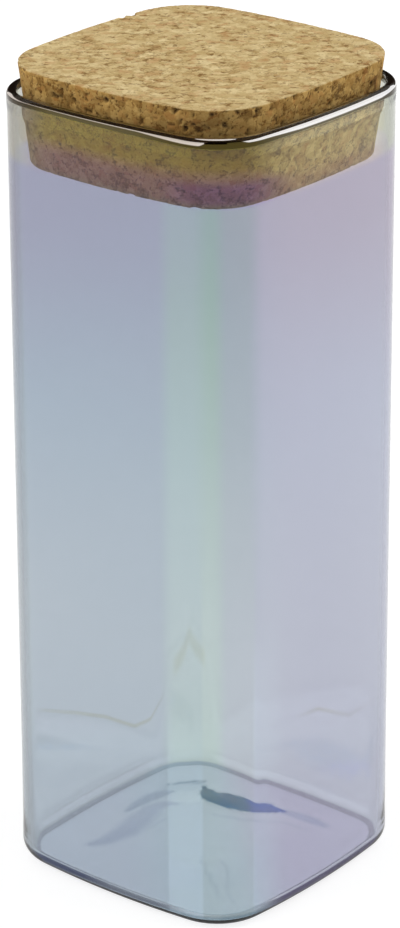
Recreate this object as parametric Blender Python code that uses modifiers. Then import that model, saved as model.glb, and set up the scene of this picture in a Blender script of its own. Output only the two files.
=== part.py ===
"""Tall square glass storage jar with round corners, closed by a tapered cork stopper.

Lengths are metres and +Z is up. The origin is the middle of the base, on the plane that the jar stands on.
The faces of the jar look along X and Y.
"""

import math

import bmesh
import bpy
from mathutils import Matrix, Vector

# Jar, measured outside
JAR_SIDE = 0.100  # from the middle of one face to the middle of the opposite face
JAR_HEIGHT = 0.263  # from the foot to the top of the rim
CORNER_RADIUS = 0.020
FACE_RADIUS = 0.300  # each face swells a little, as a shallow arc
WALL = 0.0022

# Rim: melted round, flush with the outside of the wall and thicker towards the mouth
RIM_THICKNESS = 0.0035
RIM_BLEND = 0.006  # height over which the rim thins down to the wall

# Base: a flat foot all round, with the middle pushed up
HEEL_RADIUS = 0.006
INNER_HEEL_RADIUS = 0.004
BASE_THICKNESS = 0.0024
FOOT_WIDTH = 0.009
KICK_SLOPE = 0.009  # width of the slope from the foot up to the pushed-up middle
KICK_HEIGHT = 0.003

# Stopper: a block that narrows downwards and stops where it fills the mouth
STOPPER_HEIGHT = 0.032
STOPPER_STAND = 0.009  # how far its top stands above the rim
STOPPER_TAPER = math.radians(7.1)  # of each side, from the vertical
STOPPER_EDGE = 0.0007  # rounding of its top and bottom edges
SEAT_GAP = 0.0003  # between the stopper and the rim, where they are nearest
CORNER_RELIEF = 0.0042  # how much rounder its corners are than those of the mouth

# Fineness of the curves, in flat steps
FACE_STEPS = 6
CORNER_STEPS = 10
HEEL_STEPS = 6
RIM_STEPS = 10
BLEND_STEPS = 4
SLOPE_STEPS = 6
EDGE_STEPS = 2
SMOOTH_ANGLE = math.radians(35)

GLASS_COLOUR = (0.62, 0.67, 0.74, 1.0)
GLASS_ROUGHNESS = 0.02
GLASS_IOR = 1.47
CORK_COLOUR = (0.60, 0.41, 0.21, 1.0)
CORK_ROUGHNESS = 0.85


def clear_scene():
    for old in list(bpy.data.objects):
        bpy.data.objects.remove(old, do_unlink=True)


def arc(centre, radius, start, stop, steps):
    """Points along an arc, the last one left out, each with its outward direction."""
    points = []
    for step in range(steps):
        angle = start + (stop - start) * step / steps
        outward = Vector((math.cos(angle), math.sin(angle)))
        points.append((centre + outward * radius, outward))
    return points


def outline(inset=0.0, relief=0.0):
    """The jar's square outline moved in by inset, with its corners rounder by relief.

    It runs anticlockwise, each point with its outward direction. A face's arc and a corner's arc
    touch where both turn the same way, which places the corner's centre.
    """
    half = JAR_SIDE / 2 - inset
    corner_radius = CORNER_RADIUS - inset + relief
    face_radius = FACE_RADIUS - inset
    setback = face_radius - half
    between = face_radius - corner_radius
    corner = (math.sqrt(2 * between**2 - setback**2) - setback) / 2
    turn = math.atan2(corner, corner + setback)
    quarter = arc(Vector((-setback, 0)), face_radius, -turn, turn, FACE_STEPS)
    quarter += arc(Vector((corner, corner)), corner_radius, turn, math.pi / 2 - turn, CORNER_STEPS)
    points = []
    for quadrant in range(4):
        turned = Matrix.Rotation(math.pi / 2 * quadrant, 2)
        points += [(turned @ point, turned @ outward) for point, outward in quarter]
    return points


def section(shape, inset, height, share=1.0):
    """The outline moved in by inset, then drawn in to a share of its size, at this height."""
    return [((point - outward * inset) * share).to_3d() + Vector((0, 0, height)) for point, outward in shape]


def loft(name, sections, material, collection):
    """A closed solid through the sections, flat across the first and the last."""
    solid = bmesh.new()
    rings = [[solid.verts.new(point) for point in ring] for ring in sections]
    for lower, upper in zip(rings, rings[1:]):
        for here in range(len(lower)):
            solid.faces.new((lower[here - 1], lower[here], upper[here], upper[here - 1]))
    solid.faces.new(rings[0])
    solid.faces.new(rings[-1])
    bmesh.ops.recalc_face_normals(solid, faces=solid.faces)
    mesh = bpy.data.meshes.new(name)
    solid.to_mesh(mesh)
    solid.free()
    mesh.shade_smooth()
    mesh.set_sharp_from_angle(angle=SMOOTH_ANGLE)
    mesh.materials.append(material)
    made = bpy.data.objects.new(name, mesh)
    collection.objects.link(made)
    return made


def new_surface(name, colour, roughness):
    """A material and its Principled BSDF."""
    material = bpy.data.materials.new(name)
    material.use_nodes = True
    surface = material.node_tree.nodes["Principled BSDF"]
    surface.inputs["Base Color"].default_value = colour
    surface.inputs["Roughness"].default_value = roughness
    surface.inputs["Metallic"].default_value = 0.0
    return material, surface


def glass_material():
    material, surface = new_surface("iridescent glass", GLASS_COLOUR, GLASS_ROUGHNESS)
    surface.inputs["IOR"].default_value = GLASS_IOR
    surface.inputs["Transmission Weight"].default_value = 1.0
    return material


def cork_material():
    material, _ = new_surface("agglomerated cork", CORK_COLOUR, CORK_ROUGHNESS)
    return material


def base_sections(shape, inset, level):
    """Sections up the slope of the base, from the pushed-up middle out to the flat foot."""
    edge = JAR_SIDE / 2 - inset
    slope_ends = JAR_SIDE / 2 - HEEL_RADIUS - FOOT_WIDTH
    sections = []
    for step in range(SLOPE_STEPS + 1):
        down = step / SLOPE_STEPS
        reach = slope_ends - KICK_SLOPE * (1 - down)
        rise = KICK_HEIGHT * (1 + math.cos(math.pi * down)) / 2
        sections.append(section(shape, inset, level + rise, reach / edge))
    return sections


def heel_sections(shape, wall_inset, level, radius):
    """Sections up a quarter round, from the base to a wall that stands wall_inset inside the outline."""
    sections = []
    for step in range(HEEL_STEPS + 1):
        angle = math.pi / 2 * step / HEEL_STEPS
        inset = wall_inset + radius * (1 - math.sin(angle))
        sections.append(section(shape, inset, level + radius * (1 - math.cos(angle))))
    return sections


def rim_sections(shape):
    """Sections over the round rim, from outside to inside, then down to where the wall is plain."""
    radius = RIM_THICKNESS / 2
    middle = JAR_HEIGHT - radius
    sections = []
    for step in range(RIM_STEPS + 1):
        angle = math.pi * step / RIM_STEPS
        inset = radius * (1 - math.cos(angle))
        sections.append(section(shape, inset, middle + radius * math.sin(angle)))
    for step in range(1, BLEND_STEPS + 1):
        down = step / BLEND_STEPS
        swell = (RIM_THICKNESS - WALL) * (1 + math.cos(math.pi * down)) / 2
        sections.append(section(shape, WALL + swell, middle - RIM_BLEND * down))
    return sections


def make_jar(collection):
    """One skin of glass: from the middle of the underside, up outside, over the rim and down to the floor."""
    shape = outline()
    sections = base_sections(shape, HEEL_RADIUS, 0.0)
    sections += heel_sections(shape, 0.0, 0.0, HEEL_RADIUS)
    sections += rim_sections(shape)
    sections += reversed(heel_sections(shape, WALL, BASE_THICKNESS, INNER_HEEL_RADIUS))
    sections += reversed(base_sections(shape, WALL + INNER_HEEL_RADIUS, BASE_THICKNESS))
    return loft("glass_jar", sections, glass_material(), collection)


def make_stopper(collection):
    """Its tapered sides pass SEAT_GAP clear of the round inside of the rim."""
    rim_radius = RIM_THICKNESS / 2
    seat_inset = rim_radius + (rim_radius + SEAT_GAP) / math.cos(STOPPER_TAPER)
    shape = outline(seat_inset, CORNER_RELIEF)
    top = STOPPER_STAND + rim_radius
    spread = math.tan(STOPPER_TAPER)
    sections = [section(shape, -height * spread, height) for height in (top - STOPPER_HEIGHT, top)]
    stopper = loft("cork_stopper", sections, cork_material(), collection)
    stopper.location = (0, 0, JAR_HEIGHT - rim_radius)
    edge = stopper.modifiers.new("rounded edges", "BEVEL")
    edge.width = STOPPER_EDGE
    edge.segments = EDGE_STEPS
    edge.limit_method = "ANGLE"
    edge.angle_limit = SMOOTH_ANGLE
    return stopper


def main():
    clear_scene()
    collection = bpy.data.collections.new("glass storage jar")
    bpy.context.scene.collection.children.link(collection)
    make_jar(collection)
    make_stopper(collection)


main()
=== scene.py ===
"""Square glass storage jar with an iridescent lustre, closed by an agglomerated cork stopper."""

import math
import random
from functools import partial
from types import SimpleNamespace

import bmesh
import bpy
import numpy as np
from bpy.props import FloatProperty, FloatVectorProperty, IntProperty, PointerProperty
from mathutils import Color, Matrix, Vector, noise
from mathutils.kdtree import KDTree


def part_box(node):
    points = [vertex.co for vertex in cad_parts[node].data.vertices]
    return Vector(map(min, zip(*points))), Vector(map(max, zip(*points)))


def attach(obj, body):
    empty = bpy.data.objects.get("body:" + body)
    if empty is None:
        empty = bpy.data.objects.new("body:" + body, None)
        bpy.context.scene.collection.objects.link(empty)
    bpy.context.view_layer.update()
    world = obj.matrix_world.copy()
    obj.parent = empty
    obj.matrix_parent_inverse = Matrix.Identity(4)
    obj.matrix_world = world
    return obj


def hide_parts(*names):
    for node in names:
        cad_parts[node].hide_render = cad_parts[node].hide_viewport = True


bl_info = {
    "name": "Glass storage jar with cork stopper",
    "version": (1, 0, 0),
    "blender": (4, 5, 0),
    "location": "3D View > Sidebar > Storage Jar",
    "description": "Makes a square lustred glass jar, its cork stopper and a plain studio around them",
    "category": "Add Mesh",
}

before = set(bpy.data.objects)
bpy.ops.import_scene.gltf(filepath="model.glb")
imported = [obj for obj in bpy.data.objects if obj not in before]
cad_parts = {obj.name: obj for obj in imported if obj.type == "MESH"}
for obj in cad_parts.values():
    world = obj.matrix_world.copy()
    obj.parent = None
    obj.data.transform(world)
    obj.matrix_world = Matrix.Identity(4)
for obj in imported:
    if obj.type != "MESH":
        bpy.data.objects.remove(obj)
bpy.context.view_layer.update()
JAR_LOW, JAR_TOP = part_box("glass_jar")
STOPPER_LOW, STOPPER_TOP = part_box("cork_stopper")
MM = 0.001

# Fineness of the skins, in rings or steps
JAR_RINGS = 32
HEEL_STEPS = 18
WALL_STEPS = 34
NECK_STEPS = 6
RIM_STEPS = 18
BLEND_STEPS = 8
INNER_WALL_STEPS = 30
INNER_HEEL_STEPS = 8
STOPPER_RINGS = 84
STOPPER_STEPS = 58
STOPPER_EDGE_STEPS = 4
FLOOR_SEGMENTS = 96

# The camera, fitted to the outline in the photograph: degrees, metres, and the lens in millimetres
CAMERA_AZIMUTH = -50.87
CAMERA_ELEVATION = 22.704
CAMERA_DISTANCE = 1.27493
CAMERA_PAN = 0.0512
CAMERA_PITCH = -0.1968
CAMERA_ROLL = -0.2356
CAMERA_LENS = 154.43

# Black flags, with the azimuths and the elevations that each one covers, in degrees
FLAG_DISTANCE = 6.0
FLAGS = (
    ("flag_behind", (5, 67), (-2, 24)),
    ("flag_camera", (199, 238), (-2, 24)),
    ("flag_top", (0, 360), (23, 72)),
)
# Broad lamps, with where each one stands from the jar
LAMPS = (("left_lamp", (-0.92, 0.76, 0.76)), ("right_lamp", (0.8, -0.85, 0.76)))
LAMP_SPREAD = math.radians(52)


def linear(code):
    """An sRGB hex colour as linear red, green and blue."""
    channels = [int(code[start:start + 2], 16) / 255 for start in (1, 3, 5)]
    return [c / 12.92 if c <= 0.04045 else ((c + 0.055) / 1.055) ** 2.4 for c in channels]


def length(name, default, about):
    return FloatProperty(
        name=name, description=about, default=default, min=0.0, unit="LENGTH", precision=5)


def colour(name, code, about):
    return FloatVectorProperty(
        name=name, description=about, default=linear(code), min=0.0, max=1.0, subtype="COLOR")


def share(name, default, about):
    return FloatProperty(
        name=name, description=about, default=default, min=0.0, max=1.0, subtype="FACTOR")


class JarSettings(bpy.types.PropertyGroup):
    side: length("Side", JAR_TOP.x - JAR_LOW.x, "From the middle of one face to that of the opposite one")
    height: length("Height", JAR_TOP.z, "From the foot to the top of the rim")
    corner_radius: length("Corner radius", 0.020, "Of the upright corners, outside")
    face_radius: length("Face radius", 0.300, "Of the shallow swell of each face")
    wall: length("Wall", 0.0022, "Thickness of the glass wall")
    rim_thickness: length("Rim thickness", 0.0035, "Of the melted round bead")
    rim_proud: length("Rim stands proud", 0.00018, "How far the bead stands out from the wall below it")
    rim_blend: length("Rim blend", 0.006, "Height over which the bead thins down to the wall")
    rim_rise: length("Rim rise", 0.0012, "How much higher the melted rim stands by one corner")
    heel_radius: length("Heel radius", 0.006, "Rounding from the foot to the wall, outside")
    inner_heel_radius: length("Inner heel radius", 0.004, "Rounding from the floor to the wall, inside")
    base_thickness: length("Base thickness", 0.0024, "Of the glass floor")
    foot_width: length("Foot width", 0.009, "Of the flat ring that the jar stands on")
    kick_slope: length("Kick slope", 0.017, "Width of the slope up to the pushed-up middle")
    kick_height: length("Kick height", 0.0026, "How far the middle of the base is pushed up")
    ripple: length("Ripple", 0.00030, "Depth of the waves that the mould and the cooling leave in the base")


class LustreSettings(bpy.types.PropertyGroup):
    mint: colour("Mint", "#9EC2B0", "Seen through the lustre at the upright corners")
    slate: colour("Slate", "#9AABAF", "The same at the corner where the lustre lies thickest")
    blue: colour("Blue grey", "#9CACBB", "Seen through the lustre on the cooler faces")
    lilac: colour("Lilac", "#AEB3C6", "Seen through the lustre on the warmer faces")
    dusk: colour("Dusk blue", "#9292AA", "Seen through the thicker lustre high on the cooler faces")
    mauve: colour("Mauve", "#A79DAF", "Seen through the thicker lustre high on the warmer faces")
    haze: colour("Haze", "#90A4AF", "Seen through the thicker lustre high at the upright corners")
    storm: colour("Storm", "#839298", "The same at the corner where the lustre lies thickest")
    smoke: colour("Smoke", "#E4E2E0", "Laid over the side corner where the lustre lies thickest")
    pale: colour("Pale", "#D0D4D4", "Seen through the thinner lustre low on the wall")
    petal: colour("Petal", "#BBBBC4", "The same on the warmer faces")
    dew: colour("Dew", "#D4DADF", "The same at the upright corners")
    frost: colour("Frost", "#D2E1ED", "The same in two strips, one on each side of the near corner")
    ice: colour("Ice blue", "#ABB9D0", "Seen through the lustre under the base")
    rime: colour("Rime", "#A7C2D4", "The same at the near corner")
    dawn: colour("Dawn", "#AFA7CC", "The same towards the warmer faces")
    tea: colour("Tea", "#EEE8D0", "Laid over the wall where the lustre flowed and left a fine line")
    olive: colour("Olive", "#B6AC46", "Seen through the lustre just below the rim, on the cooler faces")
    straw: colour("Straw", "#F2EEC0", "Seen through the lustre just below the rim, on the warmer faces")
    sage: colour("Sage", "#B2B5A9", "Seen through the lustre just below the rim, at the side corners")
    khaki: colour("Khaki", "#A9A79C", "The same at the side corner where the lustre lies thickest")
    rose: colour("Rosewood", "#B59A94", "Seen through the lustre between the olive and the dusk")
    sand: colour("Sand", "#DCC8AC", "The same on the warmer faces")
    plum: colour("Plum", "#8A60BC", "The same at the near corner, where the lustre lies thickest")
    # Ink blue, grape and petrol are painted shade along the heel, tinted by the lustre
    ink: colour("Ink blue", "#0A1234", "Seen along the cooler half of the heel")
    grape: colour("Grape", "#20183C", "Seen along the warmer half of the heel")
    petrol: colour("Petrol", "#3C6478", "Seen along the heel at the near corner")
    teal: colour("Teal", "#35627A", "Seen where the lustre pools under the base")
    violet: colour("Violet", "#47569C", "The same in places")
    lagoon: colour("Lagoon", "#06688C", "Of the metallic lustre where it pooled thickest under the base")
    iris: colour("Iris", "#2E54B4", "The same towards the warmer faces")
    # Bronze, umber and soot are in part painted dark reflection, standing in for dark surroundings mirrored
    # low on the rim, at its corners and on its inner half; mirror and pewter set how bright the room's
    # reflection is on the shoulder, dimmer on the cooler faces
    bronze: colour("Bronze", "#4C4232", "Of the metallic lustre low on the rim")
    umber: colour("Umber", "#33250F", "The same at the corners")
    inner_rim_dark: colour("Soot", "#8A8680", "Of the metallic lustre on the inner half of the rim")
    mirror: colour("Mirror", "#F2F0F2", "Of the metallic lustre on the outer shoulder of the rim")
    pewter: colour("Pewter", "#D0C4BC", "The same on the cooler faces")
    metal: share("Metal at the rim", 0.92, "How much of the rim reflects like metal")


class StopperSettings(bpy.types.PropertyGroup):
    height: length("Height", STOPPER_TOP.z - STOPPER_LOW.z, "From the lower face to the top")
    taper: FloatProperty(
        name="Taper", description="Of each side, from the upright", default=math.radians(7.1),
        subtype="ANGLE")
    edge: length("Edge", 0.0006, "Rounding of the top and bottom edges")
    seat_gap: length("Seat gap", 0.0003, "Between the stopper and the rim, where they are nearest")
    corner_relief: length("Corner relief", 0.0042, "How much rounder its corners are than the mouth's")
    granule: length("Granule", 0.0031, "Mean distance between the cork granules")
    pit: length("Pit depth", 0.0009, "Of the open pits between granules on the ground sides")
    seed: IntProperty(name="Seed", description="Picks another set of granules", default=7)
    bark: colour("Bark", "#7C5A2A", "Of the darkest flakes")
    tan: colour("Tan", "#B89C66", "Of the middling flakes")
    pale: colour("Pale", "#DCC795", "Of the palest flakes")
    blush: colour("Blush", "#B98A58", "Of the few reddish granules")
    seam: colour("Seam", "#7E5C2C", "Of the binder between granules")
    # Pore and speck colour the open pits: the cork's own dark there, deepened as painted shade
    pore: colour("Pore", "#34200A", "Deep in the open pits")
    speck: colour("Speck", "#6A4A20", "In the shallow pits of the sanded top")
    ground: colour("Ground side", "#E6CC98", "Laid over the sides, which are ground and not sanded")


class StudioSettings(bpy.types.PropertyGroup):
    reach: length("Floor radius", 9.0, "Of the floor")
    paper_glow: share("Paper glow", 0.78, "Of the floor's white, which is its own so that shadows stay soft")
    paper_glow_through: share("Paper glow through glass", 0.88, "What is left of that glow behind the glass")
    sky: FloatProperty(
        name="Sky", description="Strength of the soft light from all round", default=0.48, min=0.0)
    key: FloatProperty(
        name="Key", description="Strength of each of the two broad lamps", default=1.65, min=0.0)


def rgba(tint):
    return (*tint, 1.0)


def add_node(tree, kind, inputs=(), stops=(), **settings):
    """Adds a shader node with its settings, its inputs and the stops of its ramp, the two ends first.

    The inputs are named, or in a row in their own order, which for MapRange is the value, from low, from
    high, to low and to high. Each is a value, an output to link, or a node, for its first output in use.
    """
    made = tree.nodes.new("ShaderNode" + kind)
    for name, value in settings.items():
        setattr(made, name, value)
    for index, (place, tint) in enumerate(stops):
        ramp = made.color_ramp.elements
        stop = ramp[index] if index < 2 else ramp.new(place)
        stop.position = place
        stop.color = rgba(tint)
    for name, value in inputs.items() if isinstance(inputs, dict) else enumerate(inputs):
        if isinstance(value, bpy.types.Node):
            value = next(output for output in value.outputs if output.enabled)
        if isinstance(value, bpy.types.NodeSocket):
            tree.links.new(value, made.inputs[name])
        else:
            made.inputs[name].default_value = rgba(value) if isinstance(value, Color) else value
    return made


def new_material(name):
    """A material with an empty node tree, and add_node for that tree."""
    material = bpy.data.materials.new(name)
    material.use_nodes = True
    material.node_tree.nodes.clear()
    return material, partial(add_node, material.node_tree)


# Outlines and skins

def outline(jar, per_side, inset=0.0, relief=0.0):
    """Points evenly round the jar's outline, moved in by inset, with its corners rounder by relief.

    They run anticlockwise from the middle of the corner between +X and -Y, per_side to each side, each
    with its outward direction.
    """
    corner_radius = jar.corner_radius - inset + relief
    face_radius = jar.face_radius - inset
    setback = face_radius - (jar.side / 2 - inset)
    between = face_radius - corner_radius
    corner = (math.sqrt(2 * between**2 - setback**2) - setback) / 2
    turn = math.atan2(corner, corner + setback)
    bend = corner_radius * (math.pi / 4 - turn)
    along = np.arange(per_side) / per_side * 2 * (bend + face_radius * turn)
    face = along - bend
    past = face - 2 * face_radius * turn
    angle = np.where(face < 0, -turn + face / corner_radius, -turn + face / face_radius)
    angle = np.where(past > 0, turn + past / corner_radius, angle)
    outward = np.stack([np.cos(angle), np.sin(angle)], axis=1)
    centre_y = np.where(face < 0, -corner, np.where(past > 0, corner, 0.0))
    centre_x = np.where((face < 0) | (past > 0), corner, -setback)
    radius = np.where((face < 0) | (past > 0), corner_radius, face_radius)
    points = np.stack([centre_x, centre_y], axis=1) + outward * radius[:, None]
    quarter = np.array([[0.0, 1.0], [-1.0, 0.0]])
    rows, normals = [], []
    for _ in range(4):
        rows.append(points)
        normals.append(outward)
        points = points @ quarter
        outward = outward @ quarter
    return np.concatenate(rows), np.concatenate(normals)


class Skin:
    """The points and faces of one closed skin, put together from discs and loops."""

    def __init__(self, jar, rings):
        self.jar = jar
        self.rings = rings
        self.points = []
        self.insets = []
        self.faces = []
        self.slots = []
        self.slot = 0

    def add_points(self, points, inset):
        start = len(self.points)
        self.points += [tuple(point) for point in points]
        self.insets += [inset] * len(points)
        return list(range(start, len(self.points)))

    def loop(self, inset, height, relief=0.0):
        """One loop round the outline, at this height or at a height for each point."""
        flat, _ = outline(self.jar, 2 * self.rings, inset, relief)
        heights = np.broadcast_to(height, len(flat))
        return self.add_points(np.column_stack([flat, heights]), inset)

    def disc(self, inset, height_at, relief=0.0):
        """A grid of square rings that fills the outline, lifted by height_at. Returns its outer loop."""
        size = self.rings
        middle = self.add_points([(0.0, 0.0, height_at(np.zeros((1, 2)))[0])], inset)
        grid = {(0, 0): middle[0]}
        outer = []
        for ring in range(1, size + 1):
            flat, _ = outline(self.jar, 2 * ring, inset, relief)
            flat = flat * (ring / size)
            outer = self.add_points(np.column_stack([flat, height_at(flat)]), inset)
            places = [(ring, step - ring) for step in range(2 * ring)]
            places += [(ring - step, ring) for step in range(2 * ring)]
            places += [(-ring, ring - step) for step in range(2 * ring)]
            places += [(step - ring, -ring) for step in range(2 * ring)]
            grid.update(zip(places, outer))
        for column in range(-size, size):
            for row in range(-size, size):
                corners = ((column, row), (column + 1, row), (column + 1, row + 1), (column, row + 1))
                self.faces.append([grid[corner] for corner in corners])
                self.slots.append(self.slot)
        return outer

    def bridge(self, first, second):
        """Faces between two loops."""
        for here in range(len(first)):
            self.faces.append([first[here - 1], first[here], second[here], second[here - 1]])
            self.slots.append(self.slot)

    def through(self, loop, sections, relief=0.0):
        """Bridges on from a loop through (inset, height) sections. Returns the last loop."""
        for inset, height in sections:
            following = self.loop(inset, height, relief)
            self.bridge(loop, following)
            loop = following
        return loop

    def build(self, name, materials):
        """The finished object, smooth, with its faces pointing out."""
        mesh = bpy.data.meshes.new(name)
        mesh.from_pydata(self.points, [], self.faces)
        mesh.polygons.foreach_set("material_index", self.slots)
        work = bmesh.new()
        work.from_mesh(mesh)
        bmesh.ops.recalc_face_normals(work, faces=work.faces)
        work.to_mesh(mesh)
        work.free()
        mesh.shade_smooth()
        for material in materials:
            mesh.materials.append(material)
        made = bpy.data.objects.new(name, mesh)
        bpy.context.scene.collection.objects.link(made)
        return made


def angles(steps, last):
    """The angles of even steps through a quarter turn, from the first step to the last one wanted."""
    return [math.pi / 2 * step / steps for step in range(1, last + 1)]


def smooth(low, high, value):
    """0 below low, 1 above high, and an even curve between. High may be the smaller."""
    at = np.clip((value - low) / (high - low), 0.0, 1.0)
    return at * at * (3 - 2 * at)


def store(mesh, **stored):
    """Stores values at the points of a mesh, for its material."""
    for name, values in stored.items():
        attribute = mesh.attributes.new(name, "FLOAT", "POINT")
        attribute.data.foreach_set("value", np.asarray(values, np.float32))


def at_points(mesh, kind="co"):
    """The place of each point of a mesh, or its normal."""
    flat = np.empty(len(mesh.vertices) * 3, np.float32)
    mesh.vertices.foreach_get(kind, flat)
    return flat.reshape(-1, 3).astype(float)


def move_points(mesh, points):
    mesh.vertices.foreach_set("co", points.astype(np.float32).ravel())
    mesh.update()


# Glass jar

# 2 gives a round base and a large number a square one
BASE_SQUARENESS = 3.2
RIPPLE_SCALE = 0.019


def ripples(flat, seed):
    """Slow waves over the base, from -1 to 1."""
    drift = Vector((seed * 7.3, seed * 3.1, seed))
    places = [Vector((x, y, 0)) / RIPPLE_SCALE + drift for x, y in flat]
    return np.array([noise.fractal(place, 0.9, 2.0, 2) for place in places])


def reach_of(flat):
    """How far out each point of the base lies, as the half side of the rounded square through it."""
    return (np.abs(flat) ** BASE_SQUARENESS).sum(axis=1) ** (1 / BASE_SQUARENESS)


def base_height(jar, flat, level, seed):
    """The pushed-up base at these points: flat on the foot, then a slope, then a rippled middle."""
    ends = jar.side / 2 - jar.heel_radius - jar.foot_width
    inside = smooth(ends, ends - jar.kick_slope, reach_of(flat))
    wave = (0.75 * ripples(flat, 1) + 0.25 * ripples(flat, seed)) * jar.ripple
    return level + inside * (jar.kick_height + wave - jar.ripple)


# Runs of pooled lustre under the base, in millimetres: the points of each, its half widths along it, how
# strong it is and how violet. The one of full strength is plated: it mirrors, with a sharp edge.
POOLS = (
    (((28.0, 23.6), (24.1, 18.4), (23.1, 15.5), (24.0, 11.9), (25.2, 6.5), (26.4, 0.9), (28.4, -3.6),
      (30.2, -7.6)), (1.3, 4.6, 5.8, 7.2, 7.6, 6.8, 5.8, 2.0), 1.0, 0.0),
    (((31.0, 26.9), (28.0, 23.6), (24.4, 19.0)), (0.7, 1.9, 2.4), 0.70, 0.0),
    (((30.9, -10.2), (31.7, -14.7), (32.1, -19.5), (31.9, -26.0)), (3.6, 4.2, 3.6, 1.2), 0.60, 0.9),
    (((23.7, 34.5), (26.2, 32.2), (29.1, 30.1), (30.4, 28.2), (32.0, 26.9)),
     (0.8, 1.2, 2.0, 1.5, 1.0), 0.85, 0.1),
    (((21.5, 32.3), (24.0, 30.0), (26.9, 27.9), (28.2, 26.0)), (4.0, 7.0, 8.0, 4.0), 0.26, 0.1),
    (((-0.4, 32.4), (5.1, 32.6), (11.4, 32.4), (16.2, 31.4), (19.4, 29.3)),
     (1.8, 3.8, 5.0, 4.6, 2.0), 0.72, 0.35),
    (((-26.5, 26.8), (-21.2, 23.3), (-14.3, 21.4), (-5.7, 23.2), (3.2, 25.4), (8.4, 24.4), (11.1, 20.6)),
     (2.2, 5.0, 7.4, 7.6, 6.0, 4.2, 1.8), 0.62, 0.6),
    (((12.0, 6.1), (14.2, 0.6), (16.0, -5.2), (18.1, -7.8), (22.3, -14.4), (24.8, -19.5), (25.9, -23.4)),
     (0.9, 1.2, 1.2, 1.2, 1.2, 1.2, 0.8), 0.22, 0.5),
    (((-12.0, -9.0), (-15.8, -11.2), (-19.9, -17.0), (-25.1, -25.4), (-30.2, -31.2)),
     (0.6, 0.9, 1.1, 1.1, 0.8), 0.24, 0.2),
    (((-11.0, -15.0), (-14.0, -21.1), (-22.9, -28.1), (-28.8, -35.1)), (0.6, 0.9, 1.1, 0.8), 0.22, 0.2),
    (((-10.1, 16.5), (-4.7, 16.7), (0.1, 16.3)), (0.8, 1.1, 0.8), 0.22, 0.4),
)


def near_run(flat, run):
    """Millimetres from each point to a run of straight pieces, and how far along it, from 0 to 1."""
    best = np.full(len(flat), 1e9)
    along = np.zeros(len(flat))
    for index, (start, end) in enumerate(zip(run, run[1:])):
        start, end = np.array(start, float), np.array(end, float)
        step = end - start
        at = np.clip(((flat - start) @ step) / (step @ step), 0, 1)
        away = np.linalg.norm(flat - start - at[:, None] * step, axis=1)
        along = np.where(away < best, (index + at) / (len(run) - 1), along)
        best = np.minimum(away, best)
    return best, along


def pooled(flat):
    """How much lustre has pooled at these points of the base, and how violet it is there."""
    amount = np.zeros(len(flat))
    violet = np.zeros(len(flat))
    for run, widths, strength, hue in POOLS:
        away, along = near_run(flat / MM, run)
        wide = np.interp(along, np.linspace(0, 1, len(widths)), widths)
        plated = strength == 1.0
        here = strength * smooth(wide, wide * (0.82 if plated else 0.3), away)
        if plated:
            hue = smooth(0.024, 0.028, flat[:, 0] - flat[:, 1])
        violet = np.where(here > amount, hue, violet)
        amount = np.maximum(amount, here)
    return amount, violet


# How far the looks of the base reach up the heel
FOOT_OVERLAP = 0.0026
# Less than any length here
HAIR = 0.00001

# Heights over which the wall draws in above the heel, and comes out again below the bead, and the height
# of its first loop above the heel
SETTLE_HEIGHT = 0.010
NECK_HEIGHT = 0.004
FIRST_LOOP = 0.0025


def jar_skin(jar):
    """One skin of glass: the underside, up the outside, over the rim, down inside and across the floor."""
    skin = Skin(jar, rings=JAR_RINGS)
    radius = jar.heel_radius
    edge = skin.disc(radius, lambda flat: base_height(jar, flat, 0.0, 1))
    heel = [(radius * (1 - math.sin(angle)), radius * (1 - math.cos(angle)))
            for angle in angles(HEEL_STEPS, HEEL_STEPS)]
    edge = skin.through(edge, heel)
    bead = jar.rim_thickness / 2
    middle = jar.height - bead
    neck = middle - bead
    # The wall stands back from the foot and from the bead by rim_proud
    neck_low = neck - NECK_HEIGHT
    levels = [radius + FIRST_LOOP, *np.linspace(radius, neck_low, WALL_STEPS)[1:]]
    edge = skin.through(edge, [
        (jar.rim_proud * smooth(radius, radius + SETTLE_HEIGHT, height), height) for height in levels])
    edge = skin.through(edge, [
        (jar.rim_proud * (1 - smooth(neck_low, neck, height)), height)
        for height in np.linspace(neck_low, neck, NECK_STEPS)[1:]])
    over = []
    for step in range(RIM_STEPS + 1):
        angle = math.pi * step / RIM_STEPS
        over.append((bead * (1 - math.cos(angle)), middle + bead * math.sin(angle)))
    edge = skin.through(edge, over)
    skin.slot = 1
    blend = []
    for step in range(1, BLEND_STEPS + 1):
        down = step / BLEND_STEPS
        swell = (jar.rim_thickness - jar.wall) * (1 + math.cos(math.pi * down)) / 2
        blend.append((jar.wall + swell, middle - jar.rim_blend * down))
    edge = skin.through(edge, blend)
    inner = jar.inner_heel_radius
    lowest = jar.base_thickness + inner
    edge = skin.through(edge, [
        (jar.wall, height) for height in np.linspace(blend[-1][1], lowest, INNER_WALL_STEPS)[1:]])
    turn = [(jar.wall + inner * (1 - math.cos(angle)), lowest - inner * math.sin(angle))
            for angle in angles(INNER_HEEL_STEPS, INNER_HEEL_STEPS - 1)]
    edge = skin.through(edge, turn)
    floor = skin.disc(jar.wall + inner, lambda flat: base_height(jar, flat, jar.base_thickness, 2))
    skin.bridge(edge, floor)
    return skin


# The rim rises round this place, up to this far from it, and only the top of the wall takes part
RISE_MIDDLE = (-0.050, -0.032)
RISE_RADIUS = 0.115
RISE_FROM = 0.014
RISE_WHOLE = 0.003


def rim_rise(jar, points):
    """How much higher the rim stands above each point: it was melted freely, so it isn't quite level."""
    away = np.hypot(points[:, 0] - RISE_MIDDLE[0], points[:, 1] - RISE_MIDDLE[1]) / RISE_RADIUS
    return jar.rim_rise * np.clip(1 - away**2, 0, 1) ** 2


# Places round the wall and along the rim are given as x minus y in millimetres, up to this on each side
ACROSS_END = 90

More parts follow.
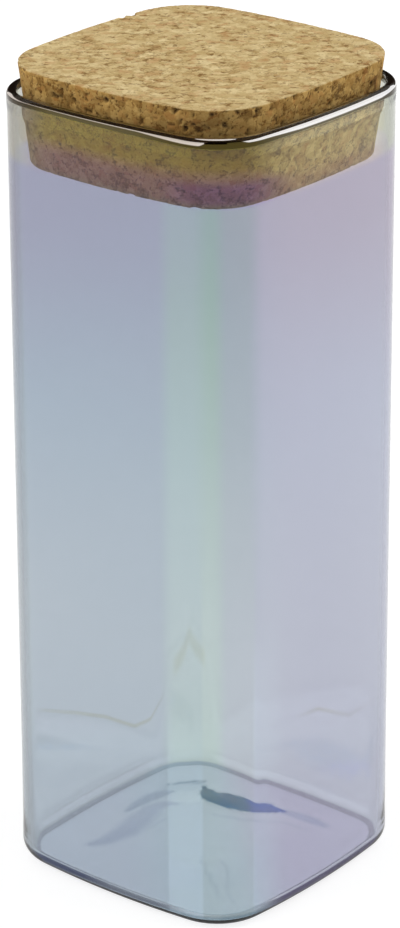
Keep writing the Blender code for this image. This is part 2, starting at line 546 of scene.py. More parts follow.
# A line low on the wall where the lustre flowed: its place, its height, how strong it is, and how wide.
# The two ends come first, as they do in every ramp here.
FLOW = (
    (-80, 57, 0.0, 1.3), (80, 57, 0.0, 1.3), (-76, 59, 0.9, 1.3), (-62, 63, 1.0, 1.3),
    (-50, 65.5, 1.0, 1.3), (-37.5, 65.8, 1.0, 1.3), (-31, 70, 0.9, 1.3), (-26, 79, 0.4, 1.3),
    (-25, 82, 0.0, 3.0), (-22, 90, 0.0, 5.0), (-21, 91, 0.5, 5.0), (-19.7, 92.5, 0.75, 5.0),
    (-17, 97, 0.65, 5.0), (-14.9, 103, 0.6, 5.0), (-12.5, 99.5, 0.65, 5.0), (-9, 96.5, 0.65, 5.0),
    (-7.5, 96, 0.0, 5.0), (34, 67, 0.0, 1.3), (46, 66, 0.8, 1.3), (63, 57, 0.5, 1.3),
)
FLOW_TOP = 120
FLOW_WIDEST = 5

# Places along the rim, with how far below the top the painted bright reflection ends there and the painted
# dark reflection begins, and how far the metal does
RIM_ENDS = (
    (-90, 0.9, 2.3), (90, 1.2, 3.0), (-60, 1.1, 2.35), (-34, 1.25, 2.8), (-20, 2.0, 3.05),
    (-10, 2.2, 3.15), (-6, 0.8, 3.2), (7, 0.8, 3.2), (11, 1.6, 3.2), (22, 1.7, 3.1),
    (36, 2.15, 3.0), (76, 2.1, 3.0), (82, 1.3, 3.0),
)
RIM_DEEPEST = 4


def lustre_glass(jar, lustre):
    """Borosilicate glass, mould-blown, then fumed outside with a metal-oxide lustre.

    It looks clear and pastel where light comes through, shifting from mint at the corners to blue, lilac
    and mauve, and like dark chrome at the rim, where the lustre lies thick and its tint holds painted bright
    and dark reflections.
    """
    material, add = new_material("lustre-fumed borosilicate glass")
    place = add("TexCoord").outputs["Object"]
    under, heel, pool, pool_hue, below, inset = (
        add("Attribute", attribute_name=name).outputs["Fac"]
        for name in ("under", "heel", "pool", "pool_violet", "below_rim", "inset"))
    drift = add("TexNoise", {"Vector": place, "Scale": 14.0, "Detail": 1.0})
    sway = add("Math", [drift, 0.012, -0.006], operation="MULTIPLY_ADD")
    axes = add("SeparateXYZ", [place])
    height = add("Math", [axes.outputs["Z"], sway])
    drawn = add("Math", [sway, 0.35, axes.outputs["Z"]], operation="MULTIPLY_ADD")
    # Across is 0 at the near and the far corner and grows towards the warmer faces. Away grows from the
    # near corner to the far one
    across = add("Math", [axes.outputs["X"], axes.outputs["Y"]], operation="SUBTRACT")
    away = add("Math", [axes.outputs["X"], axes.outputs["Y"]])
    off = add("Math", [across], operation="ABSOLUTE")
    # Where the lustre turns: along what, from where, to where, and from what to what where not from 0 to 1
    turns = {
        "SMOOTHSTEP": (
            ("warm", across, -0.020, 0.020),
            ("warmer", across, -0.010, 0.036),
            ("sunny", across, 0.008, 0.040),
            ("petalled", across, 0.014, 0.050),
            ("side_corner", across, -0.0805, -0.0840),
            ("near", off, 0.042, 0.012),
            ("beside", off, 0.040, 0.010),
            ("heel_near", off, 0.026, 0.012),
            ("outer", off, 0.070, 0.081),
            ("thick", away, 0.020, -0.060),
            ("far", away, 0.060, 0.076),
            ("crisp", height, 0.150, 0.105),
            ("upper", height, 0.150, 0.235, 0.0, 0.85),
            ("lower_band", drawn, jar.height - 0.0108, jar.height - 0.0145),
            ("banded", drawn, jar.height - 0.0215, jar.height - 0.0180),
        ),
        "LINEAR": (
            ("along", across, -ACROSS_END * MM, ACROSS_END * MM),
            ("cooler", across, -0.010, -0.030, 0.0, 0.42),
            ("strip_side", across, -0.005, 0.005, 0.0, -0.030),
            ("strip_fade", across, 0.013, 0.030, 0.62, 0.0),
            ("strip_full", across, -0.005, 0.005, 1.0, 0.0),
            ("rim_corner", off, 0.068, 0.076),
            ("beyond", off, 0.012, 0.024),
            ("front", away, 0.020, -0.020),
            ("inner", inset, 0.0009, 0.0012),
            ("plated", pool, 0.72, 0.98),
        ),
    }
    at = SimpleNamespace()
    for curve, rows in turns.items():
        for name, *row in rows:
            setattr(at, name, add("MapRange", row, interpolation_type=curve))
    # Pairs of tints, with what turns the first into the second
    # Painted dark reflection on the rim turns from bronze to darker umber at the side corners and the near
    # corner
    darker_reflection_share = add("Math", [at.near, at.rim_corner], operation="MAXIMUM")
    pairs = SimpleNamespace()
    for name, turn, first, second in (
            ("corner", at.thick, lustre.mint, lustre.slate),
            ("faces", at.warmer, lustre.blue, lustre.lilac),
            ("low_wall", at.petalled, lustre.pale, lustre.petal),
            ("under", at.near, lustre.ice, lustre.rime),
            ("high_faces", at.warmer, lustre.dusk, lustre.mauve),
            ("high_corner", at.thick, lustre.haze, lustre.storm),
            ("low_band", at.sunny, lustre.rose, lustre.sand),
            ("high_band", at.sunny, lustre.olive, lustre.straw),
            ("outer", at.warm, lustre.khaki, lustre.sage),
            ("heel", at.warm, lustre.ink, lustre.grape),
            ("pool", pool_hue, lustre.teal, lustre.violet),
            ("plate", pool_hue, lustre.lagoon, lustre.iris),
            # Painted bright and dark reflections on the rim's metal
            ("high_metal", at.warm, lustre.pewter, lustre.mirror),
            ("low_metal", darker_reflection_share, lustre.bronze, lustre.umber)):
        setattr(pairs, name, add("Mix", {0: turn, 6: first, 7: second}, data_type="RGBA"))
    # The lustre changes where the faces start to bend: sharply low down by the near corner, else softly
    crisp_near = add("Math", [at.crisp, at.thick], operation="MULTIPLY")
    softness = add("MapRange", {"Value": crisp_near, "To Min": 0.0045, "To Max": 0.0007})
    warm_end = add("MapRange", {"Value": at.thick, "To Min": 0.0170, "To Max": 0.0142})
    within_warm = add("Math", [warm_end, across], operation="SUBTRACT")
    within_cool = add("Math", [across, 0.0095])
    within = add("Math", [within_warm, within_cool], operation="MINIMUM")
    reach = add("Math", [within, softness], operation="DIVIDE")
    corner = add("MapRange", [reach, -1.0, 1.0], interpolation_type="SMOOTHSTEP")
    body = add("Mix", {0: corner, 6: pairs.faces, 7: pairs.corner}, data_type="RGBA")
    high = add("Mix", {0: corner, 6: pairs.high_faces, 7: pairs.high_corner}, data_type="RGBA")
    low_tint = add("Mix", {0: corner, 6: pairs.low_wall, 7: lustre.dew}, data_type="RGBA")
    under_tint = add("Mix", {0: at.sunny, 6: pairs.under, 7: lustre.dawn}, data_type="RGBA")
    # The heel tints are painted shade round the heel
    heel_shade_tint = add("Mix", {0: at.heel_near, 6: pairs.heel, 7: lustre.petrol}, data_type="RGBA")
    # How pale the lustre is low on the wall: on the faces in red, and at the upright corners in green
    lower = add("ValToRGB", [height], stops=(
        (0.0, (0.20, 0.30, 0.0)), (0.17, (0.0, 0.0, 0.0)),
        (0.095, (0.28, 0.42, 0.0)), (0.05, (0.26, 0.50, 0.0))))
    paleness = add("SeparateColor", [lower])
    pale_share = add("Mix", {0: corner, 2: paleness.outputs["Red"], 3: paleness.outputs["Green"]})
    # A frosty strip runs up the wall on each side of the near corner, fainter and higher on the warmer side
    aside = add("Math", [across, -0.0021])
    off_aside = add("Math", [aside], operation="ABSOLUTE")
    strip = add("Math", [off_aside, -0.0188])
    from_strip = add("Math", [strip], operation="ABSOLUTE")
    strip_across = add("MapRange", [from_strip, 0.0080, 0.0066], interpolation_type="SMOOTHSTEP")
    strip_level = add("Math", [height, at.strip_side])
    strip_up = add("MapRange", [strip_level, 0.080, 0.040, 0.0, 0.62], interpolation_type="SMOOTHSTEP")
    strip_near = add("Math", [strip_up, at.thick], operation="MULTIPLY")
    strip_most = add("Math", [at.strip_fade, at.strip_full], operation="MAXIMUM")
    strip_here = add("Math", [strip_most, strip_near], operation="MULTIPLY")
    strip_share = add("Math", [strip_across, strip_here], operation="MULTIPLY")
    # Below the rim the lustre goes through plum, rosewood or sand to olive or straw
    plum_wide = add("Math", [at.beside, at.cooler], operation="MAXIMUM")
    plum_here = add("Math", [plum_wide, at.lower_band], operation="MULTIPLY")
    plum_share = add("Math", [plum_here, at.front], operation="MULTIPLY")
    low_band = add("Mix", {0: plum_share, 6: pairs.low_band, 7: lustre.plum}, data_type="RGBA")
    # The step between them is a little higher at the near corner and lower on the warmer faces
    raised = add("Math", [at.near, -0.0010, drawn], operation="MULTIPLY_ADD")
    stepped = add("Math", [at.sunny, 0.0045, raised], operation="MULTIPLY_ADD")
    order = add("MapRange", [stepped, jar.height - 0.0130, jar.height - 0.0085],
                interpolation_type="SMOOTHSTEP")
    band = add("Mix", {0: order, 6: low_band, 7: pairs.high_band}, data_type="RGBA")
    edges = add("Math", [at.outer, at.far], operation="MAXIMUM")
    ringed = add("Mix", {0: edges, 6: band, 7: pairs.outer}, data_type="RGBA")
    # The line where it flowed
    flow = add("ValToRGB", [at.along], stops=[
        ((place + ACROSS_END) / (2 * ACROSS_END), (level / FLOW_TOP, strength, wide / FLOW_WIDEST))
        for place, level, strength, wide in FLOW])
    flow_at = add("SeparateColor", [flow])
    over_flow = add("Math", [flow_at.outputs["Red"], -FLOW_TOP * MM, axes.outputs["Z"]],
                    operation="MULTIPLY_ADD")
    from_flow = add("Math", [over_flow], operation="ABSOLUTE")
    flow_wide = add("Math", [flow_at.outputs["Blue"], FLOW_WIDEST * MM], operation="MULTIPLY")
    flow_out = add("Math", [from_flow, flow_wide], operation="DIVIDE")
    flow_line = add("MapRange", [flow_out, 1.0, 0.15], interpolation_type="SMOOTHSTEP")
    flow_here = add("Math", [flow_line, flow_at.outputs["Green"]], operation="MULTIPLY")
    flow_near = add("Math", [flow_here, at.thick], operation="MULTIPLY")
    # The lustre turns to metal on the bead, and its tint holds painted reflections: bright on the shoulder,
    # painted dark reflection in bronze or umber below it, and painted dark reflection in soot grey inside
    ends = add("ValToRGB", [at.along], stops=[
        ((place + ACROSS_END) / (2 * ACROSS_END), (bright / RIM_DEEPEST, metal / RIM_DEEPEST, 0.0))
        for place, bright, metal in RIM_ENDS])
    ends_at = add("SeparateColor", [ends])
    lower_rim = add("Math", [ends_at.outputs["Red"], -RIM_DEEPEST * MM, below], operation="MULTIPLY_ADD")
    dark_reflection_share = add("MapRange", [lower_rim, -0.00012, 0.00012])
    shoulder = add("Mix", {0: dark_reflection_share, 6: pairs.high_metal, 7: pairs.low_metal}, data_type="RGBA")
    inner_share = add("Math", [at.inner, at.beyond], operation="MULTIPLY")
    metal_tint_with_reflections = add("Mix", {0: inner_share, 6: shoulder, 7: lustre.inner_rim_dark}, data_type="RGBA")
    above = add("Math", [below, -1.0], operation="MULTIPLY")
    metal_left = add("Math", [ends_at.outputs["Green"], RIM_DEEPEST * MM, above], operation="MULTIPLY_ADD")
    metal = add("MapRange", [metal_left, -0.0002, 0.0002, 0.0, lustre.metal],
                interpolation_type="SMOOTHSTEP")
    # Each layer covers those before it by its share. Under the base the thickest pool is metal too
    finish = body
    for share_here, tint, blend in (
            (pale_share, low_tint, "MIX"),
            (strip_share, lustre.frost, "MIX"),
            (under, under_tint, "MIX"),
            (at.upper, high, "MIX"),
            (at.banded, ringed, "MIX"),
            (at.side_corner, lustre.smoke, "MULTIPLY"),
            (flow_near, lustre.tea, "MULTIPLY"),
            # Painted shade round the heel
            (heel, heel_shade_tint, "MIX"),
            (pool, pairs.pool, "MIX"),
            (at.plated, pairs.plate, "MIX"),
            (metal, metal_tint_with_reflections, "MIX")):
        finish = add("Mix", {0: share_here, 6: finish, 7: tint}, data_type="RGBA", blend_type=blend)
    mirrored = add("Math", [metal, at.plated], operation="MAXIMUM")
    surface = add("BsdfPrincipled", {
        "Base Color": finish, "Metallic": mirrored, "Roughness": 0.012, "IOR": 1.47,
        "Transmission Weight": 1.0})
    add("OutputMaterial", {"Surface": surface})
    return material


def clear_glass():
    """The same borosilicate glass inside, clear and wet-looking, where the fume didn't reach."""
    material, add = new_material("fire-polished borosilicate glass")
    place = add("TexCoord").outputs["Object"]
    film = add("TexNoise", {"Vector": place, "Scale": 22.0, "Detail": 2.0})
    gloss = add("MapRange", {"Value": film, "To Min": 0.0, "To Max": 0.02})
    surface = add("BsdfPrincipled", {
        "Base Color": (1.0, 1.0, 1.0, 1.0), "Roughness": gloss, "IOR": 1.47, "Transmission Weight": 1.0})
    add("OutputMaterial", {"Surface": surface})
    return material


def painted_heel_shade(points):
    """Painted shade round the heel, in the lustre's dark tints: a line in front, and behind it a fine line
    under a soft painted shade.

    The line in front is highest on the left, and fades at the near corner.
    """
    across = points[:, 0] - points[:, 1]
    up = points[:, 2]
    behind = smooth(-0.012, 0.002, points[:, 0] + points[:, 1])
    corner = smooth(0.030, 0.014, np.abs(across))
    cool = smooth(0.0, -0.030, across)
    left = smooth(-0.026, -0.052, across)
    side = smooth(0.094, 0.080, np.abs(across)) * (1 - corner)
    front_high = 0.0014 + side * (0.0010 + 0.0005 * cool * left) + corner * 0.0040
    fading = 1 - 0.16 * smooth(-0.062, -0.040, across) * (across < 0) - 0.40 * corner
    front = smooth(front_high, front_high * 0.72, up) * fading
    shade = smooth(0.0080, 0.0008, up) * (0.16 + 0.32 * cool)
    line = smooth(0.0011, 0.0006, up) * 0.72
    return front + (np.maximum(shade, line) - front) * behind


class MakeJar(bpy.types.Operator):
    """Make the glass jar, with its rim, heel and pushed-up base"""

    bl_idname = "storage_jar.make_jar"
    bl_label = "Glass jar"

    def execute(self, context):
        jar = context.scene.storage_jar
        lustre = context.scene.storage_jar_lustre
        skin = jar_skin(jar)
        made = skin.build("lustred_glass_jar", [lustre_glass(jar, lustre), clear_glass()])
        points = at_points(made.data)
        rise = rim_rise(jar, points)
        points[:, 2] += rise * smooth(jar.height - RISE_FROM, jar.height - RISE_WHOLE, points[:, 2])
        move_points(made.data, points)
        up = points[:, 2]
        insets = np.array(skin.insets)
        outside = np.arange(len(points)) < len(points) // 2
        foot = outside & (up < jar.heel_radius) & (insets > jar.heel_radius - FOOT_OVERLAP)
        rounded = outside & (insets < jar.heel_radius - HAIR) & (up < jar.heel_radius + HAIR)
        amount, violet = pooled(points[:, :2])
        # The heel values are painted shade round the heel
        store(
            made.data, below_rim=jar.height + rise - up, inset=insets, under=foot,
            pool=np.where(foot, amount, 0.0), pool_violet=violet,
            heel=np.where(rounded, painted_heel_shade(points), 0.0))
        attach(made, "jar")
        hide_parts("glass_jar")
        return {"FINISHED"}


# Cork stopper

def stopper_skin(jar, stopper):
    """The tapered block with small round edges, in an even net of quads."""
    skin = Skin(jar, rings=STOPPER_RINGS)
    bead = jar.rim_thickness / 2
    seat = bead + (bead + stopper.seat_gap) / math.cos(stopper.taper)
    spread = math.tan(stopper.taper)
    top = STOPPER_TOP.z
    low = top - stopper.height
    centre = jar.height - bead
    edge = stopper.edge
    relief = stopper.corner_relief
    turns = angles(STOPPER_EDGE_STEPS, STOPPER_EDGE_STEPS - 1)

    def inset(height):
        return seat - (height - centre) * spread

    loop = skin.disc(inset(low) + edge, lambda flat: np.full(len(flat), low), relief)
    sections = [(inset(low) + edge * (1 - math.sin(angle)), low + edge * (1 - math.cos(angle)))
                for angle in turns]
    sections += [(inset(height), height) for height in np.linspace(low + edge, top - edge, STOPPER_STEPS)]
    sections += [(inset(top) + edge * (1 - math.cos(angle)), top - edge * (1 - math.sin(angle)))
                 for angle in turns]
    loop = skin.through(loop, sections, relief)
    upper = skin.disc(inset(top) + edge, lambda flat: np.full(len(flat), top), relief)
    skin.bridge(loop, upper)
    return skin


# Noise that bends the seams between granules, and noise that opens wide and small pits, by size
BEND_SCALE = 0.0021
BEND = 0.00075
WIDE_PITS = 0.0026
SMALL_PITS = 0.0009


def cork_granules(points, stopper):
    """For each point: the tone and the blush of its granule, and how far it is from the next one."""
    spread = random.Random(stopper.seed)
    # Without this the vector noise takes its seed from the clock
    noise.seed_set(stopper.seed)
    low = points.min(axis=0) - stopper.granule
    high = points.max(axis=0) + stopper.granule
    count = int(np.prod((high - low) / stopper.granule))
    seeds = KDTree(count)
    looks = []
    for index in range(count):
        seeds.insert([spread.uniform(low[axis], high[axis]) for axis in range(3)], index)
        looks.append((spread.random(), spread.random()))
    seeds.balance()
    tones = np.empty(len(points))
    blushes = np.empty(len(points))
    seams = np.empty(len(points))
    for index, point in enumerate(points):
        place = Vector(point)
        bent = place + noise.noise_vector(place / BEND_SCALE) * BEND
        (_, nearest, near), (_, _, next_near) = seeds.find_n(bent, 2)
        tones[index], blushes[index] = looks[nearest]
        seams[index] = next_near - near
    return tones, blushes, seams


# Bites out of the edges, in millimetres: the middle, the radius and the depth
BITES = (
    ((21.5, 46.3, 271.8), 2.4, 0.9),
    ((17.6, 46.6, 271.8), 1.6, 0.5),
    ((-38.0, -22.0, 240.2), 2.4, 1.1),
    ((-37.2, -18.5, 240.2), 1.6, 0.7),
    ((-39.6, -7.0, 240.2), 1.5, 0.6),
)


def cork_relief(points, normals, stopper, seams):
    """How open each point's pit is, and how far the surface lies in from the plain block."""
    rough = np.array([noise.noise(Vector(point) / WIDE_PITS) for point in points])
    fine = np.array([noise.noise(Vector(point) / SMALL_PITS) for point in points])
    side = 1 - np.abs(normals[:, 2])
    at_seam = smooth(0.0009, 0.0, seams)
    low = side * smooth(JAR_TOP.z + 0.006, JAR_TOP.z + 0.001, points[:, 2])
    # More pits and holes open low on the sides, towards the rim, as painted shade there
    pits = smooth(0.42 - 0.10 * side - 0.12 * low, 0.64 - 0.12 * side, rough) * at_seam
    holes = smooth(0.52 - 0.08 * side - 0.06 * low, 0.72, fine) * (0.5 + 0.5 * side)
    covered = side * smooth(JAR_TOP.z + 0.001, JAR_TOP.z - 0.002, points[:, 2])
    open_share = np.maximum(pits * (1 - 0.75 * covered), holes * (0.8 - 0.45 * covered))
    edge_low = smooth(0.0014, 0.0003, points[:, 2] - STOPPER_LOW.z)
    edge_top = smooth(0.0010, 0.0002, STOPPER_TOP.z - points[:, 2]) * (side > 0.15)
    chips = smooth(0.25, 0.60, rough) * (edge_low * 0.6 + edge_top * 0.5)
    depth = 0.00007 * smooth(0.0006, 0.0, seams)
    depth += 0.00005 * (1 + fine)
    depth += open_share * stopper.pit * (0.35 + 0.65 * side)
    depth += chips * 0.0006
    for middle, radius, bite in BITES:
        away = np.linalg.norm(points / MM - np.array(middle), axis=1)
        depth += bite * MM * smooth(radius, radius * 0.5, away + rough * 0.8)
    return np.clip(open_share + chips * 0.3, 0, 1), depth


def cork(stopper):
    """Agglomerated cork: granules pressed with a binder, cut and sanded.

    It looks matt and flecked, with dark seams and pits.
    """
    material, add = new_material("sanded agglomerated cork")
    place = add("TexCoord").outputs["Object"]
    tone, blush, seam, pit, side = (
        add("Attribute", attribute_name=name).outputs["Fac"]
        for name in ("tone", "blush", "seam", "pit", "side"))
    # Cork cells are 0.04 mm across, too fine to show, so this grain is drawn at 0.7 mm
    grain = add("TexNoise", {"Vector": place, "Scale": 1 / 0.0007, "Detail": 3.0, "Roughness": 0.65})
    # The sheet was pressed and drawn as it was cut, so its flakes lie longer along one diagonal
    laid = add("Mapping", {
        "Vector": place, "Rotation": (0.0, 0.0, math.radians(-48)), "Scale": (1.4, 1.0, 1.0)},
        vector_type="TEXTURE")
    torn = add("TexNoise", {"Vector": laid, "Scale": 620.0, "Detail": 2.0, "Distortion": 1.2})
    bent = add("VectorMath", [torn.outputs["Color"], (0.0016, 0.0016, 0.0016), laid],
               operation="MULTIPLY_ADD")
    flakes = add("TexVoronoi", {"Vector": bent, "Scale": 1 / 0.0017})
    flake = add("SeparateXYZ", [flakes.outputs["Color"]])
    flecked = add("Math", [grain, 0.9, -0.45], operation="MULTIPLY_ADD")
    split = add("Math", [flake.outputs["X"], 0.60, flecked], operation="MULTIPLY_ADD")
    toned = add("Math", [tone, 0.42, split], operation="MULTIPLY_ADD")
    granule = add("ValToRGB", [toned], stops=(
        (0.0, stopper.bark), (1.0, stopper.pale), (0.25, stopper.tan)))
    reds = add("Math", [flake.outputs["Y"], 0.5, blush], operation="MULTIPLY_ADD")
    ruddy = add("MapRange", [reds, 0.95, 1.35, 0.0, 0.55])
    warmed = add("Mix", {0: ruddy, 6: granule, 7: stopper.blush}, data_type="RGBA")
    # Slits open between the flakes, 1 to 4 mm long
    slits = add("TexNoise", {"Vector": bent, "Scale": 1 / 0.0018, "Detail": 2.0, "Roughness": 0.60})
    slit = add("MapRange", [slits, 0.60, 0.70, 0.0, 0.85])
    slitted = add("Mix", {0: slit, 6: warmed, 7: stopper.seam}, data_type="RGBA")
    ragged = add("Math", [grain, 0.0008, seam], operation="MULTIPLY_ADD")
    line = add("MapRange", [ragged, 0.00062, 0.00036, 0.0, 0.5])
    lined = add("Mix", {0: line, 6: slitted, 7: stopper.seam}, data_type="RGBA")
    # On the ground sides each granule keeps its own shade, and the seams between them are open and dark
    shades = add("MapRange", {"Value": tone, "To Min": 0.78, "To Max": 1.20})
    axes = add("SeparateXYZ", [place])
    out_of_jar = add("MapRange", [axes.outputs["Z"], JAR_TOP.z - 0.010, JAR_TOP.z + 0.002])
    # Painted shade and light: the sides darken towards the rim, where little light reaches, and lighten
    # towards the top
    painted_rim_shade = add("MapRange", [axes.outputs["Z"], JAR_TOP.z + 0.0085, JAR_TOP.z + 0.001, 1.12, 0.78])
    tone_and_painted_shade = add("Math", [shades, painted_rim_shade], operation="MULTIPLY")
    # Painted shade: the near corner is darker, standing in for less of the lamps' light falling there
    across = add("Math", [axes.outputs["X"], axes.outputs["Y"]], operation="SUBTRACT")
    off = add("Math", [across], operation="ABSOLUTE")
    painted_corner_shade = add("MapRange", [off, 0.055, 0.010, 1.0, 0.80])
    shade = add("Math", [tone_and_painted_shade, painted_corner_shade], operation="MULTIPLY")
    outside = add("Math", [side, out_of_jar], operation="MULTIPLY")
    ground = add("Mix", {0: outside, 6: lined, 7: stopper.ground}, data_type="RGBA", blend_type="MULTIPLY")
    shaded = add("Mix", {0: outside, 6: ground, 7: shade}, data_type="RGBA", blend_type="MULTIPLY")
    crack = add("MapRange", [ragged, 0.00060, 0.00036])
    deep_crack = add("MapRange", {"Value": outside, "To Min": 0.8, "To Max": 0.95})
    split_side = add("Math", [crack, side], operation="MULTIPLY")
    cracked = add("Math", [split_side, deep_crack], operation="MULTIPLY")
    # The open pits and cracks darken, more on the sides: painted shade deep in them on top of the cork's own
    # dark
    hollow = add("MapRange", [pit, 0.12, 0.7, 0.0, 0.7])
    deep = add("Math", [side, 0.45, 0.5], operation="MULTIPLY_ADD")
    hollowed = add("Math", [hollow, deep], operation="MULTIPLY")
    opened = add("Math", [cracked, 0.75, hollowed], operation="MULTIPLY_ADD", use_clamp=True)
    pit_shade_tint = add("Mix", {0: side, 6: stopper.speck, 7: stopper.pore}, data_type="RGBA")
    flaked = add("Mix", {0: opened, 6: shaded, 7: pit_shade_tint}, data_type="RGBA")
    matt = add("MapRange", {"Value": grain, "To Min": 0.78, "To Max": 0.92})
    bump = add("Bump", {"Height": split, "Distance": 0.00025, "Strength": 0.6})
    surface = add("BsdfPrincipled", {"Base Color": flaked, "Roughness": matt, "Normal": bump, "IOR": 1.4})
    add("OutputMaterial", {"Surface": surface})
    return material


class MakeStopper(bpy.types.Operator):
    """Make the cork stopper, with its granules, pits and chipped edges"""

    bl_idname = "storage_jar.make_stopper"
    bl_label = "Cork stopper"

    def execute(self, context):
        jar = context.scene.storage_jar
        stopper = context.scene.storage_jar_stopper
        made = stopper_skin(jar, stopper).build("granular_cork_stopper", [cork(stopper)])
        points = at_points(made.data)
        normals = at_points(made.data, "normal")
        tones, blushes, seams = cork_granules(points, stopper)
        pits, depth = cork_relief(points, normals, stopper, seams)
        move_points(made.data, points - normals * depth[:, None])
        side = 1 - np.abs(normals[:, 2])
        store(made.data, tone=tones, blush=blushes, seam=seams, pit=pits, side=side)
        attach(made, "stopper")
        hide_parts("cork_stopper")
        return {"FINISHED"}


# Studio

def place_camera():
    """The camera at the photograph's angle, from the front left and above."""

    def outward(azimuth, elevation):
        flat = math.cos(elevation)
        return Vector((math.sin(azimuth) * flat, -math.cos(azimuth) * flat, math.sin(elevation)))

    azimuth = math.radians(CAMERA_AZIMUTH)
    elevation = math.radians(CAMERA_ELEVATION)
    roll = math.radians(CAMERA_ROLL)
    back = outward(azimuth, elevation)
    azimuth += math.radians(CAMERA_PAN)
    elevation += math.radians(CAMERA_PITCH)
    facing = outward(azimuth, elevation)
    right = Vector((math.cos(azimuth), math.sin(azimuth), 0.0))
    up = facing.cross(right)
    rolled = right * math.cos(roll) + up * math.sin(roll)
    upward = up * math.cos(roll) - right * math.sin(roll)
    data = bpy.data.cameras.new("camera")
    data.lens = CAMERA_LENS
    data.sensor_width = 36.0
    data.clip_end = 50.0
    camera = bpy.data.objects.new("camera", data)
    place = Vector((0.0, 0.0, JAR_TOP.z / 2)) + back * CAMERA_DISTANCE
    turn = Matrix((rolled, upward, facing)).transposed()
    camera.matrix_world = Matrix.Translation(place) @ turn.to_4x4()
    bpy.context.scene.collection.objects.link(camera)
    bpy.context.scene.camera = camera


def seen_white(add, path):
    """1 where a surface is seen, straight, in a reflection or through glass, and 0 where it gives light."""
    seen = add("Math", [path.outputs["Is Camera Ray"], path.outputs["Is Glossy Ray"]], operation="MAXIMUM")
    return add("Math", [seen, path.outputs["Is Transmission Ray"]], operation="MAXIMUM")


def paper(studio):
    """Seamless studio paper: matt and pale. Part of its white is its own, so its shadow is soft."""
    material, add = new_material("seamless paper")
    place = add("TexCoord").outputs["Object"]
    fibre = add("TexNoise", {"Vector": place, "Scale": 900.0, "Detail": 2.0})
    sheet = add("MapRange", {"Value": fibre, "To Min": 0.30, "To Max": 0.34})
    tint = add("CombineXYZ", [sheet, sheet, sheet])
    matt = add("BsdfDiffuse", {"Color": tint})
    path = add("LightPath")
    seen = seen_white(add, path)
    # Little light gets in under the round heel, which shows where the heel mirrors the floor
    floor = add("SeparateXYZ", [place])
    wide = add("Math", [floor.outputs["X"], 4.0], operation="POWER")
    deep = add("Math", [floor.outputs["Y"], 4.0], operation="POWER")
    spread = add("Math", [wide, deep])
    out = add("Math", [spread, 0.25], operation="POWER")
    shade = add("MapRange", [out, 0.058, 0.047, 0.0, 0.75], interpolation_type="SMOOTHSTEP")
    glossy = add("Math", [path.outputs["Is Glossy Ray"], path.outputs["Is Transmission Ray"]],
                 operation="SUBTRACT", use_clamp=True)
    mirrored = add("Math", [shade, glossy], operation="MULTIPLY")
    lit = add("Math", [seen, mirrored], operation="SUBTRACT")
    # Through the glass the floor is about as bright as the room, so that no step shows between them
    white = add("MapRange", {
        "Value": path.outputs["Is Transmission Ray"], "To Min": studio.paper_glow,
        "To Max": studio.paper_glow * studio.paper_glow_through})
    level = add("Math", [lit, white], operation="MULTIPLY")
    glow = add("Emission", {"Strength": level})
    both = add("AddShader", [matt, glow])
    add("OutputMaterial", {"Surface": both})
    return material


def flag_cloth():
    """Black duvetyne on a frame: it takes the room's place in reflections, and nothing else sees it."""
    material, add = new_material("black flag cloth")
    surface = add("Emission", {"Color": rgba(linear("#2A211C"))})
    add("OutputMaterial", {"Surface": surface})
    return material


def flag(name, material, azimuths, elevations):
    """A curved flag between two azimuths and two elevations, in degrees, round the jar."""
    columns, rows = 24, 8
    middle = Vector((0.0, 0.0, JAR_TOP.z))
    points, faces = [], []
    for row in range(rows + 1):
        rise = math.radians(elevations[0] + (elevations[1] - elevations[0]) * row / rows)
        for column in range(columns + 1):
            turn = math.radians(azimuths[0] + (azimuths[1] - azimuths[0]) * column / columns)
            flat = math.cos(rise)
            away = Vector((math.cos(turn) * flat, math.sin(turn) * flat, math.sin(rise)))
            points.append(middle + away * FLAG_DISTANCE)
    for row in range(rows):
        for column in range(columns):
            first = row * (columns + 1) + column
            faces.append((first, first + 1, first + columns + 2, first + columns + 1))
    mesh = bpy.data.meshes.new(name)
    mesh.from_pydata(points, [], faces)
    mesh.materials.append(material)
    made = bpy.data.objects.new(name, mesh)
    bpy.context.scene.collection.objects.link(made)
    made.visible_camera = False
    made.visible_diffuse = False
    made.visible_transmission = False
    made.visible_shadow = False


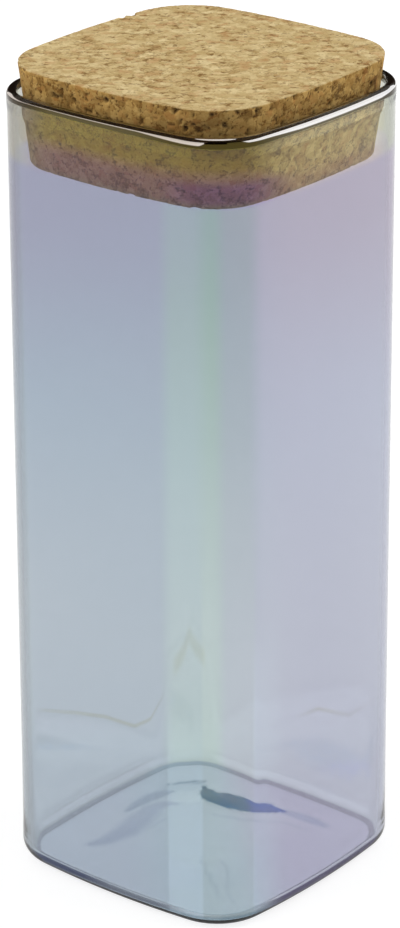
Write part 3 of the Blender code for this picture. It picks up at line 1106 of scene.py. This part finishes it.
class SetStudio(bpy.types.Operator):
    """Set up the floor, the soft light, the flags and the camera"""

    bl_idname = "storage_jar.set_studio"
    bl_label = "Studio"

    def execute(self, context):
        studio = context.scene.storage_jar_studio
        work = bmesh.new()
        bmesh.ops.create_circle(
            work, cap_ends=True, cap_tris=True, segments=FLOOR_SEGMENTS, radius=studio.reach)
        mesh = bpy.data.meshes.new("paper_floor")
        work.to_mesh(mesh)
        work.free()
        mesh.materials.append(paper(studio))
        floor = bpy.data.objects.new("paper_floor", mesh)
        # A hair below the foot, so that the two don't touch
        floor.location.z = -0.0002
        context.scene.collection.objects.link(floor)
        cloth = flag_cloth()
        for name, azimuths, elevations in FLAGS:
            flag(name, cloth, azimuths, elevations)
        for name, direction in LAMPS:
            lamp = bpy.data.lights.new(name, "SUN")
            lamp.energy = studio.key
            lamp.angle = LAMP_SPREAD
            key = bpy.data.objects.new(name, lamp)
            key.rotation_euler = Vector(direction).to_track_quat("Z", "Y").to_euler()
            key.visible_glossy = False
            context.scene.collection.objects.link(key)
        world = bpy.data.worlds.new("white_room")
        world.use_nodes = True
        tree = world.node_tree
        tree.nodes.clear()
        add = partial(add_node, tree)
        seen = seen_white(add, add("LightPath"))
        level = add("Mix", {0: seen, 2: studio.sky, 3: 1.0})
        light = add("Background", {"Color": (1, 1, 1, 1), "Strength": level})
        add("OutputWorld", {"Surface": light})
        context.scene.world = world
        context.scene.view_settings.view_transform = "Standard"
        place_camera()
        return {"FINISHED"}


class StorageJarPanel(bpy.types.Panel):
    """Lists the pieces of the jar and its studio"""

    bl_idname = "VIEW3D_PT_storage_jar"
    bl_label = "Storage Jar"
    bl_space_type = "VIEW_3D"
    bl_region_type = "UI"
    bl_category = "Storage Jar"

    def draw(self, context):
        for step in (MakeJar, MakeStopper, SetStudio):
            self.layout.operator(step.bl_idname)
        for name in SETTINGS:
            box = self.layout.box()
            group = getattr(context.scene, name)
            for setting in group.bl_rna.properties.keys()[2:]:
                box.prop(group, setting)


SETTINGS = {
    "storage_jar": JarSettings,
    "storage_jar_lustre": LustreSettings,
    "storage_jar_stopper": StopperSettings,
    "storage_jar_studio": StudioSettings,
}
CLASSES = (*SETTINGS.values(), MakeJar, MakeStopper, SetStudio, StorageJarPanel)


def register():
    for made in CLASSES:
        bpy.utils.register_class(made)
    for name, group in SETTINGS.items():
        setattr(bpy.types.Scene, name, PointerProperty(type=group))


def unregister():
    for name in SETTINGS:
        delattr(bpy.types.Scene, name)
    for made in reversed(CLASSES):
        bpy.utils.unregister_class(made)


def main():
    register()
    bpy.ops.storage_jar.make_jar()
    bpy.ops.storage_jar.make_stopper()
    bpy.ops.storage_jar.set_studio()


if __name__ == "__main__":
    main()
